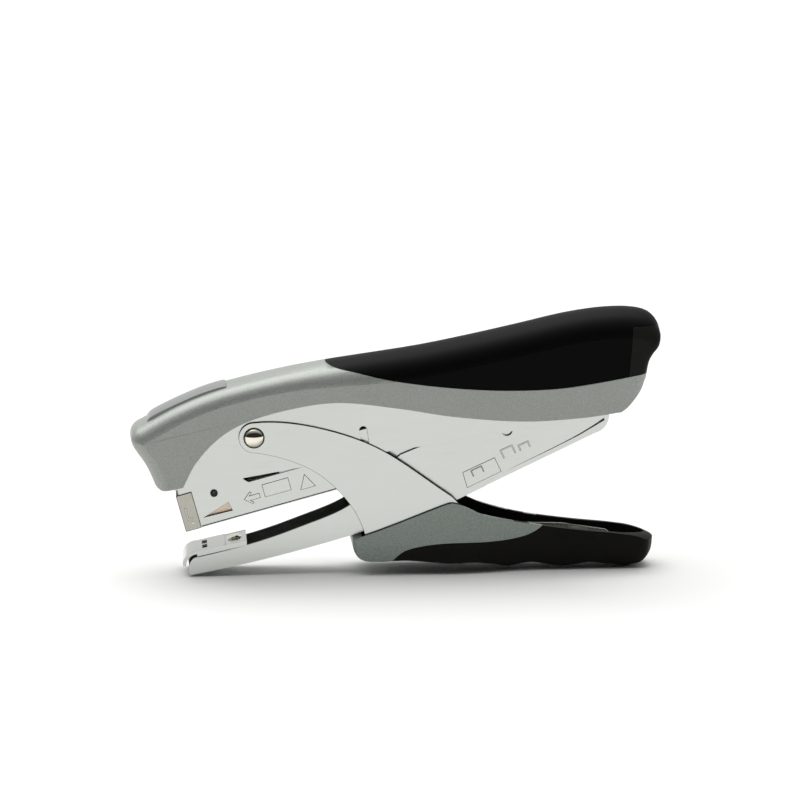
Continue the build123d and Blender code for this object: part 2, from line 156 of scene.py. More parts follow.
def sweep_paper():
    finish = Finish("sweep_paper")
    grain = finish.noise(900.0, 3.0)
    colour = finish.tint(grain, (0.88, 0.88, 0.875), (0.91, 0.91, 0.905))
    return finish.surface(Base_Color=colour, Roughness=0.8)


SWEEP_SIZE = 60.0
SWEEP_DROP = 0.0006
bpy.ops.mesh.primitive_plane_add(size=SWEEP_SIZE, location=(0, 0, -SWEEP_DROP))
floor = bpy.context.object
floor.name = "floor"
floor.data.materials.append(sweep_paper())


class Room(Finish):
    """The light that stands all round, made with the same nodes as a material."""

    def __init__(self, name):
        self.material = bpy.data.worlds.new(name)
        self.material.use_nodes = True
        self.tree = self.material.node_tree
        self.shader = self.tree.nodes["Background"]


BEYOND = 0.8
DARK_CORNER = (0.03, 0.03, 0.032, 1)
WHITE_CEILING = (1.0, 1.0, 0.995, 1)
CEILING_START = 0.75
ROOM_STRENGTH = 0.75
room = Room("studio")
heading = {"Vector": room.node("ShaderNodeTexCoord", output="Generated")}
away = room.node("ShaderNodeSeparateXYZ", None, heading, output="Y")
upward = room.node("ShaderNodeSeparateXYZ", None, heading, output="Z")
shades = {"stops": [(0.0, DARK_CORNER), (CEILING_START, WHITE_CEILING)]}
ceiling = room.node("ShaderNodeValToRGB", shades, {0: away * BEYOND + upward})
bpy.context.scene.world = room.surface(Color=ceiling, Strength=ROOM_STRENGTH)

CANOPY_STRENGTH = 2.3
CANOPY_SPREAD = radians(70)
CANOPY_LEAN = (radians(-14), radians(-10), 0)
canopy_light = bpy.data.lights.new("canopy_light", "SUN")
canopy_light.energy = CANOPY_STRENGTH
canopy_light.angle = CANOPY_SPREAD
canopy = bpy.data.objects.new("canopy_light", canopy_light)
bpy.context.scene.collection.objects.link(canopy)
canopy.rotation_euler = CANOPY_LEAN


# ---- Sheet-metal frame ----
# One pressing of 1 mm steel folded over the magazine: two side plates and a top web.
# It is plated bright all over; the thin edges left by the press tool are painted dark and dull, as painted
# shade and dark reflection along them.
SHEET_EDGE_AREA = 30.0
FRAME_EDGE_BREAK = 0.28


def bright_plate():
    """Nickel-chrome plate: nearly even, with a faint roll direction, haze and fine handling marks."""
    finish = Finish("bright_plate")
    roll = finish.noise(70.0, 3.0, finish.place((1, 1, 9)))
    haze = finish.noise(24.0, 2.0)
    scuff = finish.noise(900.0, 2.0, finish.place((0.09, 1, 1), (0, 0.4, 0)))
    marks = finish.band(scuff, 0.66, 0.72)
    colour = finish.tint(roll, (0.575, 0.589, 0.564), (0.64, 0.656, 0.624))
    rough = 0.13 + roll * 0.07 + haze * 0.06 + marks * 0.05
    normal = finish.bump(haze, 0.0006, 0.25)
    return finish.surface(Base_Color=colour, Metallic=1.0, Roughness=rough, Normal=normal)


def painted_edge_shade():
    """Painted edge shade: the sheared edge of plated steel painted dark and dull for its shadow and dark
    reflection, with the odd bright scrap of plate.
    """
    finish = Finish("painted_edge_shade")
    scraps = finish.band(finish.noise(1300.0, 2.0), 0.62, 0.70)
    colour = finish.tint(scraps, (0.035, 0.035, 0.033), (0.30, 0.30, 0.29))
    return finish.surface(Base_Color=colour, Metallic=0.6, Roughness=0.55)


PLATE = bright_plate()
# The edge finish is painted shade: a dark, dull colour for the shadow and dark reflection along thin and
# broken edges.
EDGE_SHADE = painted_edge_shade()


def finished(bm, name, body, finishes, replaced=(), crease=35.0):
    """Turn a millimetre bmesh into a smooth-shaded piece in metres that rides on its body."""
    for face in bm.faces:
        face.smooth = abs(face.normal.y) < 0.9998
    for edge in bm.edges:
        edge.smooth = edge.calc_face_angle(0.0) < radians(crease)
    bmesh.ops.scale(bm, vec=(MM, MM, MM), verts=bm.verts)
    mesh = bpy.data.meshes.new(name)
    bm.to_mesh(mesh)
    bm.free()
    for material in finishes:
        mesh.materials.append(material)
    piece = bpy.data.objects.new(name, mesh)
    bpy.context.scene.collection.objects.link(piece)
    weigh = piece.modifiers.new("even_faces", "WEIGHTED_NORMAL")
    weigh.keep_sharp = True
    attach(piece, body)
    if replaced:
        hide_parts(*replaced)
    return piece


def from_node(node):
    """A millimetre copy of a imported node, with its loose triangles joined into plain faces."""
    bm = bmesh.new()
    bm.from_mesh(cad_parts[node].data)
    bmesh.ops.scale(bm, vec=(1 / MM, 1 / MM, 1 / MM), verts=bm.verts)
    bmesh.ops.remove_doubles(bm, verts=bm.verts, dist=0.002)
    bmesh.ops.dissolve_limit(bm, angle_limit=radians(0.8), verts=bm.verts, edges=bm.edges,
                             delimit={"NORMAL"})
    return bm


def break_edges(bm, width, edge_finish=1, sharp=38.0):
    """Bevel every sharp edge a little and give the new faces the finish in slot edge_finish, by default the
    painted edge shade.
    """
    edges = [e for e in bm.edges if e.is_manifold and e.calc_face_angle(0.0) > radians(sharp)]
    made = bmesh.ops.bevel(bm, geom=edges, offset=width, offset_type="OFFSET", affect="EDGES", segments=1,
                           profile=0.5, material=-1, clamp_overlap=True)
    for face in made["faces"]:
        face.material_index = edge_finish


def pressed_sheet(node, body, width):
    """A plated pressing: its broken edges and the sheet's thin sides take the painted edge shade."""
    bm = from_node(node)
    for face in bm.faces:
        if abs(face.normal.y) < 0.3 and face.calc_area() < SHEET_EDGE_AREA:
            face.material_index = 1
    break_edges(bm, width)
    return finished(bm, node + "_pressing", body, [PLATE, EDGE_SHADE], [node])


pressed_sheet("body_frame", "upper_handle", FRAME_EDGE_BREAK)


# ---- Front pivot rivet ----
# A tubular steel rivet through the frame and the lever's cheeks, headed at both ends.
# Its mirror-bright nickel heads stand proud inside a thin dark ring, painted shadow round each head.
FRONT_PIVOT = (-51.0, 50.5)
RIVET_HEAD = (3.35, 1.7)
RIVET_SHANK = [(0, -12.0), (2.0, -12.0), (2.0, 12.0), (0, 12.0)]
SHADOW_RING = [(3.35, 0.0), (3.8, 0.0), (3.78, 0.09), (3.65, 0.12), (3.4, 0.10), (3.35, 0.0)]
CHEEK_OUT = 11.9
HEAD_GAP = 0.05
RING_GAP = 0.01


def warm_nickel():
    finish = Finish("warm_nickel")
    cloud = finish.noise(500.0, 2.0)
    colour = finish.tint(cloud, (0.80, 0.745, 0.62), (0.90, 0.86, 0.76))
    return finish.surface(Base_Color=colour, Metallic=1.0, Roughness=0.05 + cloud * 0.05)


NICKEL = warm_nickel()


def spun(profile, place, steps=48):
    """A closed solid of revolution: profile points are (radius, height) from the axis end to end."""
    bm = bmesh.new()
    verts = [bm.verts.new((radius, 0, height)) for radius, height in profile]
    edges = [bm.edges.new(ends) for ends in zip(verts, verts[1:])]
    bmesh.ops.spin(bm, geom=verts + edges, cent=(0, 0, 0), axis=(0, 0, 1), angle=2 * pi, steps=steps,
                   use_merge=True)
    bmesh.ops.remove_doubles(bm, verts=bm.verts, dist=0.0005)
    bmesh.ops.recalc_face_normals(bm, faces=bm.faces)
    bmesh.ops.transform(bm, matrix=place, verts=bm.verts)
    return bm


def joined(*parts):
    """Several bmeshes gathered into the first one."""
    whole = parts[0]
    for part in parts[1:]:
        scrap = bpy.data.meshes.new("scrap")
        part.to_mesh(scrap)
        whole.from_mesh(scrap)
        bpy.data.meshes.remove(scrap)
        part.free()
    return whole


def across(centre, y, side):
    """A frame at a side-view point, Z pointing out of the near (-1) or the far (+1) side."""
    return Matrix.Translation((centre[0], side * y, centre[1])) @ Matrix.Rotation(-side * pi / 2, 4, "X")


def domed(radius, height, steps=9):
    """Half the section of a rivet head: a small straight wall, then a round top."""
    wall = 0.16 * height
    rise = height - wall
    ball = (radius ** 2 + rise ** 2) / (2 * rise)
    points = [(0.0, 0.0), (radius, 0.0)]
    for step in range(steps + 1):
        share = 1 - step / steps
        r = radius * share
        points.append((r, wall + rise - ball + (ball ** 2 - r ** 2) ** 0.5))
    points[-1] = (0.0, points[-1][1])
    return points


heads = [spun(domed(*RIVET_HEAD), across(FRONT_PIVOT, CHEEK_OUT + HEAD_GAP, side)) for side in (-1, 1)]
shank = spun(RIVET_SHANK, across(FRONT_PIVOT, 0, 1))
finished(joined(*heads, shank), "pivot_rivet_headed", "upper_handle", [NICKEL],
         ["pivot_rivet"], crease=50.0)
# A thin dark ring in the edge shade paints the shadow round each rivet head.
shadow_rings = [spun(SHADOW_RING, across(FRONT_PIVOT, CHEEK_OUT + RING_GAP, side)) for side in (-1, 1)]
finished(joined(*shadow_rings), "rivet_shadow_rings", "upper_handle", [EDGE_SHADE])


# ---- Magazine ----
# A folded steel channel, open above, that holds the rail and the staples; its mouth is wrapped by
# a hardened wear plate. A window shows the staples, and pressed marks stand a little proud.
MAG_FOOT = (-74.7, 16.0)
MAG_SLOPE = radians(15)
MAG_OUT = 7.5
WEAR_OUT = 8.1
MAG_EDGE_BREAK = 0.22
IDENTITY = Matrix.Identity(4)
ON_SLOPE = Matrix.Translation((MAG_FOOT[0], 0, MAG_FOOT[1])) @ Matrix.Rotation(-MAG_SLOPE, 4, "Y")
pressed_sheet("magazine_channel", "magazine", MAG_EDGE_BREAK)


def hard_plate():
    """Hardened spring steel, ground along its length: warmer and duller than the plating."""
    finish = Finish("hard_plate")
    grind = finish.noise(240.0, 3.0, finish.place((5, 1, 1), (0, -MAG_SLOPE, 0)))
    stain = finish.noise(90.0, 2.0)
    colour = finish.tint(grind, (0.44, 0.43, 0.375), (0.58, 0.565, 0.50))
    rough = 0.24 + grind * 0.14 + stain * 0.06
    return finish.surface(Base_Color=colour, Metallic=1.0, Roughness=rough,
                          Normal=finish.bump(grind, 0.00002, 0.3))


HARD = hard_plate()


ROOT = 0.1
LIP = 0.22


def plateau(outline, y_face, height, side, place=ON_SLOPE):
    """A flat shape standing out of a side wall, with sloping edges painted dark as their shade; outline
    points are (u, v).
    """
    bm = bmesh.new()
    base = bm.faces.new([bm.verts.new((u, side * (y_face - ROOT), v)) for u, v in outline])
    made = bmesh.ops.extrude_face_region(bm, geom=[base])
    raised = [v for v in made["geom"] if isinstance(v, bmesh.types.BMVert)]
    bmesh.ops.translate(bm, verts=raised, vec=(0, side * (height + ROOT), 0))
    bmesh.ops.recalc_face_normals(bm, faces=bm.faces)
    top = [f for f in bm.faces if all(v in raised for v in f.verts)][0]
    bevelled = bmesh.ops.bevel(bm, geom=top.edges[:], offset=min(LIP, height * 0.9), offset_type="OFFSET",
                               affect="EDGES", segments=1, profile=0.5, material=-1, clamp_overlap=True)
    for face in bevelled["faces"]:
        face.material_index = 1
    bmesh.ops.transform(bm, matrix=place, verts=bm.verts)
    return bm


def all_dark(bm):
    """Give every face the painted edge shade: a thin sheet painted dark as the shade of a fold or a gap."""
    for face in bm.faces:
        face.material_index = 1
    return bm


bm = from_node("magazine_front")
break_edges(bm, MAG_EDGE_BREAK)
finished(bm, "wear_plate", "magazine", [HARD, EDGE_SHADE], ["magazine_front"])

# The shade is a thin sheet painted dark: painted shadow in the gap that the frame's lower edge leaves along
# the magazine.
SHADE = [(-52, 37.2), (-30, 41.0), (-30, 39.9), (-36, 38.55), (-41, 37.45), (-52, 35.8)]
DIMPLE = [(0, 0), (0.45, 0), (0.40, 0.2), (0, 0.24)]
DIMPLE_PLACE = (2.6, 2.6)
SHALLOW = 0.05
NOTCH_PROUD = 0.14
MARK_PROUD = 0.20
FOLD_SHADE = [(5.2, 0.25), (150, 0.25), (150, 0.62), (5.2, 0.62)]
NOTCH = [(0.9, 8.6), (1.5, 8.6), (1.5, 4.6), (2.9, 4.6), (2.9, 4.0), (0.9, 4.0)]
ARROW = [(22.2, 5.6), (25.0, 8.0), (25.6, 7.4), (24.6, 6.5), (28.2, 6.5), (28.2, 4.7), (24.6, 4.7),
         (25.6, 3.8), (25.0, 3.2)]
PANEL = [(29.8, 9.2), (39.6, 9.2), (39.6, 4.4), (29.8, 4.4)]
WEDGE = [(42.6, 3.4), (48.4, 3.4), (45.5, 8.8)]
marks = []
for side in (-1, 1):
    marks.append(plateau(NOTCH, WEAR_OUT, NOTCH_PROUD, side))
    for outline in (ARROW, PANEL, WEDGE):
        marks.append(plateau(outline, MAG_OUT, MARK_PROUD, side))
    # A dark strip along the foot of each wall is painted shade at the fold.
    marks.append(all_dark(plateau(FOLD_SHADE, MAG_OUT, SHALLOW, side)))
    marks.append(all_dark(plateau(SHADE, MAG_OUT, SHALLOW, side, IDENTITY)))
    marks.append(spun(DIMPLE, ON_SLOPE @ across(DIMPLE_PLACE, WEAR_OUT, side), 16))
finished(joined(*marks), "magazine_marks", "magazine", [PLATE, EDGE_SHADE])

# An ear folded up from each wall closes the frame's slot from behind.
EAR_PLACE = (69.5, 8.4, 14.6)
EAR_SIZE = (7.0, 1.9, 9.0)
ears = []
for side in (-1, 1):
    ear = bmesh.new()
    spot = ON_SLOPE @ Matrix.Translation((EAR_PLACE[0], side * EAR_PLACE[1], EAR_PLACE[2]))
    bmesh.ops.create_cube(ear, size=1.0, matrix=spot @ Matrix.Diagonal((*EAR_SIZE, 1)))
    break_edges(ear, 0.1)
    ears.append(ear)
finished(joined(*ears), "magazine_ears", "magazine", [PLATE, EDGE_SHADE])

# A small upset stud on each wall, behind the wear plate, painted all dark as painted shade.
STUD = [(0, 0), (1.35, 0), (1.35, 0.5), (1.1, 0.75), (0.9, 0.5), (0, 0.5)]
STUD_PLACE = (12.6, 10.9)
studs = [spun(STUD, ON_SLOPE @ across(STUD_PLACE, MAG_OUT, side), 32) for side in (-1, 1)]
finished(joined(*studs), "magazine_studs", "magazine", [EDGE_SHADE], crease=25.0)


# ---- Staple rail, staples and follower ----
# The strip of 13 mm staples straddles a folded steel rail. Each staple is flattened wire, copper
# tinted by its glue; a zinc-plated saddle pushes them forward along a rod inside a coil spring.
RAIL_TOP = 7.0
STAPLE_TOP = 7.6
STAPLE_FOOT = 1.6
STAPLE_HALF = 6.4
STAPLE_WIRE = 0.52
STAPLE_PITCH = 0.625
STAPLE_COUNT = 80
STRIP_START = 3.8
CROWN_ROUND = 0.45
RAIL_EDGE_BREAK = 0.1
pressed_sheet("staple_rail", "magazine", RAIL_EDGE_BREAK)


def staple_wire():
    finish = Finish("staple_wire")
    glue = finish.noise(420.0, 2.0)
    colour = finish.tint(glue, (0.80, 0.61, 0.44), (0.92, 0.78, 0.62))
    return finish.surface(Base_Color=colour, Metallic=0.85, Roughness=0.30 + glue * 0.2)


bm = bmesh.new()
gauge = STAPLE_TOP - RAIL_TOP
crown = [(-STAPLE_HALF, STAPLE_FOOT), (-STAPLE_HALF, STAPLE_TOP), (STAPLE_HALF, STAPLE_TOP),
         (STAPLE_HALF, STAPLE_FOOT), (STAPLE_HALF - gauge, STAPLE_FOOT), (STAPLE_HALF - gauge, RAIL_TOP),
         (-STAPLE_HALF + gauge, RAIL_TOP), (-STAPLE_HALF + gauge, STAPLE_FOOT)]
front = bm.faces.new([bm.verts.new((STRIP_START, y, v)) for y, v in crown])
made = bmesh.ops.extrude_face_region(bm, geom=[front])
bmesh.ops.translate(bm, verts=[v for v in made["geom"] if isinstance(v, bmesh.types.BMVert)],
                    vec=(STAPLE_WIRE, 0, 0))
corners = [e for e in bm.edges if all(abs(v.co.z - STAPLE_TOP) < 0.005 for v in e.verts)
           and abs(e.verts[0].co.y - e.verts[1].co.y) < 0.01]
bmesh.ops.bevel(bm, geom=corners, offset=CROWN_ROUND, offset_type="OFFSET", affect="EDGES", segments=3,
                profile=0.5, material=-1)
bmesh.ops.recalc_face_normals(bm, faces=bm.faces)
one_staple = bm.verts[:] + bm.edges[:] + bm.faces[:]
for index in range(1, STAPLE_COUNT):
    copy = bmesh.ops.duplicate(bm, geom=one_staple)
    bmesh.ops.translate(bm, verts=[v for v in copy["geom"] if isinstance(v, bmesh.types.BMVert)],
                        vec=(STAPLE_PITCH * index, 0, 0))
bmesh.ops.transform(bm, matrix=ON_SLOPE, verts=bm.verts)
finished(bm, "staples", "magazine", [staple_wire()], ["staple_strip"])


def zinc_plate():
    """Clear-zinc plating: cool grey with a soft crystal cloud."""
    finish = Finish("zinc_plate")
    cloud = finish.noise(700.0, 3.0)
    colour = finish.tint(cloud, (0.50, 0.51, 0.52), (0.66, 0.67, 0.67))
    return finish.surface(Base_Color=colour, Metallic=1.0, Roughness=0.26 + cloud * 0.16)


def spring_steel():
    finish = Finish("spring_steel")
    drawn = finish.noise(1500.0, 2.0)
    colour = finish.tint(drawn, (0.30, 0.30, 0.30), (0.46, 0.46, 0.45))
    return finish.surface(Base_Color=colour, Metallic=1.0, Roughness=0.22 + drawn * 0.15)


ZINC = zinc_plate()
SPRING = spring_steel()


def softened(node, body, finish, width=0.15):
    """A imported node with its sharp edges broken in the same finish."""
    bm = from_node(node)
    break_edges(bm, width, 0)
    return finished(bm, node + "_softened", body, [finish], [node])


CLOSED_TURN = 0.75
WIRE_SIDES = 10
STEPS_PER_TURN = 20


def coil(radius, wire, turns, length, place):
    """A compression spring along Z from 0, closed by a flatter turn at each end."""
    bm = bmesh.new()
    start = Matrix.Translation((radius, 0, wire / 2)) @ Matrix.Rotation(pi / 2, 4, "X")
    bmesh.ops.create_circle(bm, cap_ends=True, segments=WIRE_SIDES, radius=wire / 2, matrix=start)
    tight = wire * 1.02
    open_turns = turns - 2 * CLOSED_TURN
    pitch = (length - wire - 2 * CLOSED_TURN * tight) / open_turns
    for share, rise in ((CLOSED_TURN, tight), (open_turns, pitch), (CLOSED_TURN, tight)):
        ends = [f for f in bm.faces if len(f.verts) == WIRE_SIDES]
        tip = max(ends, key=lambda f: f.calc_center_median().z)
        count = round(share * STEPS_PER_TURN)
        bmesh.ops.spin(bm, geom=[tip, *tip.edges, *tip.verts], cent=(0, 0, 0), axis=(0, 0, 1),
                       dvec=(0, 0, rise * share / count), angle=2 * pi * share, steps=count)
    bmesh.ops.holes_fill(bm, edges=[e for e in bm.edges if e.is_boundary])
    bmesh.ops.recalc_face_normals(bm, faces=bm.faces)
    bmesh.ops.transform(bm, matrix=place, verts=bm.verts)
    return bm


softened("pusher", "follower", ZINC)
softened("guide_rod", "loading_slide", ZINC, 0.1)
softened("spring_bridge", "magazine", ZINC)
softened("stop_pin", "magazine", HARD, 0.15)
ROD_V = 9.2
PUSHER_END = 66.2
KNOB_START = 157.3
FEED_COIL = (1.75, 0.45, 34)
along_rod = ON_SLOPE @ Matrix.Translation((PUSHER_END, 0, ROD_V)) @ Matrix.Rotation(pi / 2, 4, "Y")
feed_coil = coil(*FEED_COIL, KNOB_START - PUSHER_END - 0.2, along_rod)
feed_spring = finished(feed_coil, "follower_spring", "loading_slide", [SPRING],
                       ["pusher_spring"], crease=60.0)
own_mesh(feed_spring)


# ---- Loading knob ----
# A black moulded block on the end of the rod, pulled out backwards to load staples.
# Ribs across it give the fingers a hold.
def black_moulding():
    """Glossy black injection-moulded plastic with a faint orange-peel."""
    finish = Finish("black_moulding")
    peel = finish.noise(1100.0, 2.0)
    colour = finish.tint(peel, (0.010, 0.010, 0.0095), (0.017, 0.017, 0.016))
    rough = 0.30 + peel * 0.12
    return finish.surface(Base_Color=colour, Roughness=rough, Specular_IOR_Level=0.06,
                          Normal=finish.bump(peel, 0.00002, 0.4))


MOULDING = black_moulding()
RIB_COUNT = 4
RIB_PITCH = 1.6
RIB_SIZE = (0.7, 11.0, 0.8)
RIB_PLACE = (3.0, 10.9)
bm = from_node("load_knob")
break_edges(bm, 0.5, 0)
ribs = []
for index in range(RIB_COUNT):
    rib = bmesh.new()
    along = KNOB_START + RIB_PLACE[0] + index * RIB_PITCH
    spot = ON_SLOPE @ Matrix.Translation((along, 0, RIB_PLACE[1]))
    bmesh.ops.create_cube(rib, size=1.0, matrix=spot @ Matrix.Diagonal((*RIB_SIZE, 1)))
    bmesh.ops.bevel(rib, geom=rib.edges[:], offset=0.2, offset_type="OFFSET", affect="EDGES", segments=2,
                    profile=0.5, material=-1)
    ribs.append(rib)
finished(joined(bm, *ribs), "ribbed_knob", "loading_slide", [MOULDING], ["load_knob"])


# ---- Anvil arm ----
# A long steel channel that swings under the magazine from the rear studs; its tail is taken up by
# the roller. A joggle stiffens the tail, and the anvil tray is riveted on a post at its nose.
ARM_IN = 7.8
ARM_OUT = 8.8
JOGGLE_DEPTH = 0.5


def through(points, steps=5):
    """A smooth side-view line through (x, z) points."""
    spots = [Vector((x, 0, z)) for x, z in points]
    last = len(spots) - 1
    ways = [(spots[min(i + 1, last)] - spots[max(i - 1, 0)]).normalized() for i in range(last + 1)]
    line = []
    for i in range(last):
        handle = (spots[i + 1] - spots[i]).length / 3
        leaving = spots[i] + ways[i] * handle
        arriving = spots[i + 1] - ways[i + 1] * handle
        line += interpolate_bezier(spots[i], leaving, arriving, spots[i + 1], steps + 1)[:-1]
    return line + [spots[-1]]


def straight(*points):
    return [Vector((x, 0, z)) for x, z in points]


SHOULDER_STEPS = 6


def slab(outline, half, shoulder=0.0):
    """A side-view outline given thickness across Y, its rims rounded by rings of insets."""
    bm = bmesh.new()
    flat = half - shoulder
    face = bm.faces.new([bm.verts.new((p.x, -flat, p.z)) for p in outline])
    made = bmesh.ops.extrude_face_region(bm, geom=[face])
    far = [f for f in made["geom"] if isinstance(f, bmesh.types.BMFace)][0]
    bmesh.ops.translate(bm, verts=far.verts[:], vec=(0, 2 * flat, 0))
    bmesh.ops.recalc_face_normals(bm, faces=bm.faces)
    for side in (face, far) if shoulder else ():
        for step in range(SHOULDER_STEPS):
            low = pi / 2 * step / SHOULDER_STEPS
            high = pi / 2 * (step + 1) / SHOULDER_STEPS
            bmesh.ops.inset_region(bm, faces=[side], thickness=shoulder * (cos(low) - cos(high)),
                                   depth=shoulder * (sin(high) - sin(low)), use_even_offset=True,
                                   use_boundary=True)
    return bm


def divided(bm, way, spots):
    """Cut across with planes square to an axis, so that later bending is smooth."""
    for spot in spots:
        normal = [0, 0, 0]
        centre = [0, 0, 0]
        normal[way] = 1
        centre[way] = spot
        bmesh.ops.bisect_plane(bm, geom=bm.verts[:] + bm.edges[:] + bm.faces[:], dist=0.0001,
                               plane_co=centre, plane_no=normal)


def as_object(bm):
    mesh = bpy.data.meshes.new("blank")
    bm.to_mesh(mesh)
    bm.free()
    made = bpy.data.objects.new("blank", mesh)
    bpy.context.scene.collection.objects.link(made)
    return made


def carved(bm, tool, operation="DIFFERENCE"):
    """The first solid with the second taken away, or kept where both are; the tool is used up."""
    blank = as_object(bm)
    cutter = as_object(tool)
    cut = blank.modifiers.new("cut", "BOOLEAN")
    cut.operation = operation
    cut.solver = "MANIFOLD"
    cut.object = cutter
    result = bmesh.new()
    result.from_object(blank, bpy.context.evaluated_depsgraph_get())
    for used in (blank, cutter):
        mesh = used.data
        bpy.data.objects.remove(used)
        bpy.data.meshes.remove(mesh)
    bmesh.ops.remove_doubles(result, verts=result.verts, dist=0.001)
    return result


def channel_shade_finish():
    """Painted shade for the inside of the channel: its floor and inner walls painted near black."""
    finish = Finish("painted_channel_shade")
    film = finish.noise(300.0, 2.0)
    colour = finish.tint(film, (0.006, 0.006, 0.006), (0.018, 0.018, 0.017))
    return finish.surface(Base_Color=colour, Roughness=0.5 + film * 0.15, Specular_IOR_Level=0.15)


CHANNEL_SHADE = channel_shade_finish()
TOOL_HALF = 3.0
CHANNEL_SHADE_END = 20
ARM_EDGE_BREAK = 0.24
joggle_line = through([(32.0, 32.0), (36.5, 34.9), (56.0, 44.5), (66.0, 49.7), (74.6, 55.2), (80, 59.5)], 3)
pressed_in = joggle_line + straight((80, 30), (32, 20))
bm = from_node("anvil_arm")
for side in (-1, 1):
    tool = slab(pressed_in, TOOL_HALF)
    bmesh.ops.translate(tool, verts=tool.verts, vec=(0, side * (ARM_OUT - JOGGLE_DEPTH + TOOL_HALF), 0))
    bm = carved(bm, tool)
# The thin sides take the painted edge shade, and the inside of the channel near the nose is painted near
# black as its shade.
for face in bm.faces:
    middle = face.calc_center_median()
    if abs(face.normal.y) < 0.3 and face.calc_area() < SHEET_EDGE_AREA:
        face.material_index = 1
    in_channel_shade = abs(middle.y) < ARM_IN + 0.05 and middle.x < CHANNEL_SHADE_END
    if in_channel_shade and (abs(face.normal.y) > 0.9 or face.normal.z > 0.3):
        face.material_index = 2
break_edges(bm, ARM_EDGE_BREAK)
finished(bm, "anvil_arm_pressing", "anvil", [PLATE, EDGE_SHADE, CHANNEL_SHADE], ["anvil_arm"])

TRAY_EDGE_BREAK = 0.14
bm = from_node("anvil_plate")
break_edges(bm, TRAY_EDGE_BREAK)
finished(bm, "anvil_tray", "anvil", [PLATE, EDGE_SHADE], ["anvil_plate"])
softened("anvil_post", "anvil", ZINC, 0.1)

ANVIL_TOP = (-68.2, 9.6)
ANVIL_SLOPE = 0.22
ANVIL_TILT = radians(12.4)
RIVET_X = -58.0
COIN_STEP = 0.2
rivet_z = ANVIL_TOP[1] + ANVIL_SLOPE * (RIVET_X - ANVIL_TOP[0])
on_anvil = Matrix.Translation((RIVET_X, 0, rivet_z - COIN_STEP)) @ Matrix.Rotation(-ANVIL_TILT, 4, "Y")
ANVIL_HEAD = (2.7, 1.35)
ANVIL_SHANK = [(0, -8.0), (1.3, -8.0), (1.3, 0.1), (0, 0.1)]
anvil_rivet = joined(spun(domed(*ANVIL_HEAD), on_anvil), spun(ANVIL_SHANK, on_anvil))
finished(anvil_rivet, "anvil_rivet_headed", "anvil", [NICKEL], ["anvil_rivet"], crease=50.0)

TILTED_PANEL = [(23.8, 36.2), (35.4, 41.5), (37.9, 36.3), (25.5, 30.4)]
SIGNS_ON_ARM = [(38.6, 41.0, 5.0, 3.4), (44.6, 43.6, 4.2, 2.4)]
SIGN_ON_PANEL = (27.6, 34.5, 4.6, 2.6)
SIGN_WIRE = 0.55
SIGN_TILT = radians(24.5)
SIGN_PROUD = 0.16
PANEL_SIGN_PROUD = 0.38


def staple_sign(x, z, width, leg):
    """The outline of an open staple, tilted with the arm."""
    inner = width - SIGN_WIRE
    below = leg - SIGN_WIRE
    flat = [(0, 0), (0, leg), (width, leg), (width, 0), (inner, 0), (inner, below), (SIGN_WIRE, below),
            (SIGN_WIRE, 0)]
    along = (cos(SIGN_TILT), sin(SIGN_TILT))
    return [(x + u * along[0] - v * along[1], z + u * along[1] + v * along[0]) for u, v in flat]


# A thin sheet painted dark is the joggle's shadow: a dark line under its upper edge that widens to the
# rear.
JOGGLE_SHADE = [(40.0, 36.75), (56.0, 44.55), (66.0, 49.75), (74.8, 55.3), (75.2, 54.5), (66.0, 49.1),
                (56.0, 44.15), (40.0, 36.6)]
SHADE_PROUD = 0.3
arm_marks = []
for side in (-1, 1):
    arm_marks.append(all_dark(plateau(JOGGLE_SHADE, ARM_OUT - JOGGLE_DEPTH, SHADE_PROUD, side, IDENTITY)))
    arm_marks.append(plateau(TILTED_PANEL, ARM_OUT, MARK_PROUD, side, IDENTITY))
    for sign in SIGNS_ON_ARM:
        arm_marks.append(plateau(staple_sign(*sign), ARM_OUT, SIGN_PROUD, side, IDENTITY))
    arm_marks.append(plateau(staple_sign(*SIGN_ON_PANEL), ARM_OUT, PANEL_SIGN_PROUD, side, IDENTITY))
finished(joined(*arm_marks), "arm_marks", "anvil", [PLATE, EDGE_SHADE])


# ---- Rear studs ----
# Two short shouldered studs, one in each side plate, so the staple channel stays clear between
# them. The magazine and the arm both turn on them, under the cover.
softened("rear_pivot_studs", "upper_handle", ZINC, 0.25)
softened("pivot_tube", "upper_handle", ZINC, 0.15)


# ---- Return springs ----
# Round-wire compression springs: the strong one lifts the head off the magazine, the lighter one
# pushes the anvil arm open. Both shorten as the handles close.
LIFT_PLACE = (-36.1, 40.5, 63.4)
LIFT_COIL = (3.55, 0.85, 7)
OPENING_PLACE = (14.0, 26.6, 38.4)
OPENING_COIL = (4.05, 0.75, 5)


def upright_spring(name, node, body, place, shape):
    """A coil standing on the seat below it."""
    x, low, high = place
    bm = coil(*shape, high - low, Matrix.Translation((x, 0, low)))
    spring = finished(bm, name, body, [SPRING], [node], crease=60.0)
    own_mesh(spring)


upright_spring("lift_spring", "head_spring", "upper_handle", LIFT_PLACE, LIFT_COIL)
upright_spring("opening_spring", "arm_spring", "magazine", OPENING_PLACE, OPENING_COIL)


# ---- Lever and roller ----
# The lower handle's steel core: two cheeks that cross the magazine to the front rivet and a
# channel along the handle. A hard roller on a pin between the cheeks lifts the arm's tail.
CHANNEL_START = 24.0
LEVER_EDGE_BREAK = 0.30
bm = from_node("lever")
